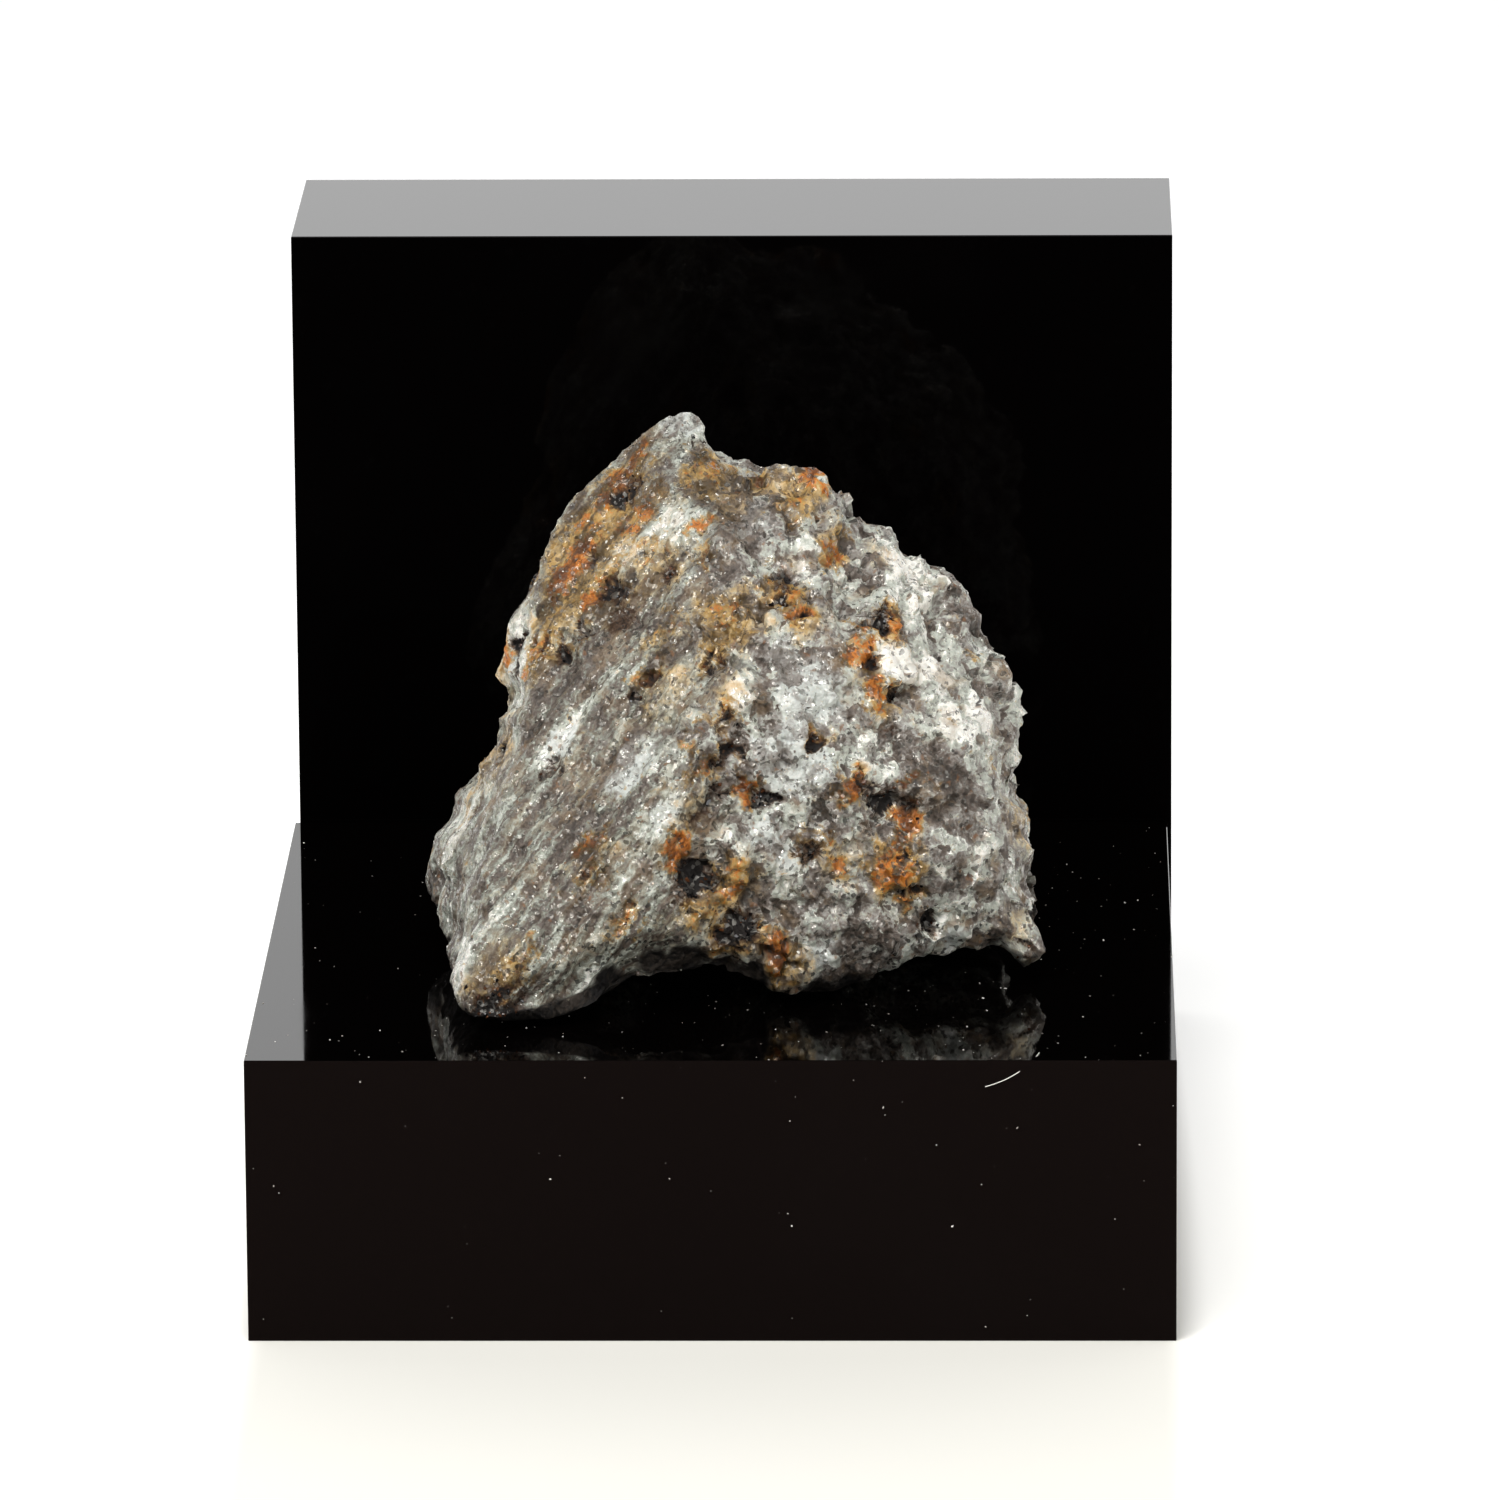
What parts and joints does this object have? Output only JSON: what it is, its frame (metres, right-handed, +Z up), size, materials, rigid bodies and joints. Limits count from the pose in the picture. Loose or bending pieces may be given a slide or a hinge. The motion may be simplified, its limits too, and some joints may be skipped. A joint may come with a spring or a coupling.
{
  "type": "mica specimen",
  "caption": "Rough lump of foliated mica rock resting on a flat black acrylic display block, with a matching block upright behind it.",
  "frame": {"origin": "middle of the stand's footprint, on the surface that it stands on", "axes": "+Z up; +Y from the lying block towards the upright one, away from the viewer; +X to the viewer's right"},
  "size_m": [0.0502, 0.066, 0.05],
  "materials": {
    "rock": "broken mica rock: grey-green and white silky layers, translucent grains, rust stains, dark pits",
    "base_acrylic": "polished black cast acrylic with fine dust",
    "back_acrylic": "polished black cast acrylic"
  },
  "bodies": {
    "root": {"mica_rock": "rock", "base_block": "base_acrylic", "back_block": "back_acrylic"}
  },
  "joints": []
}
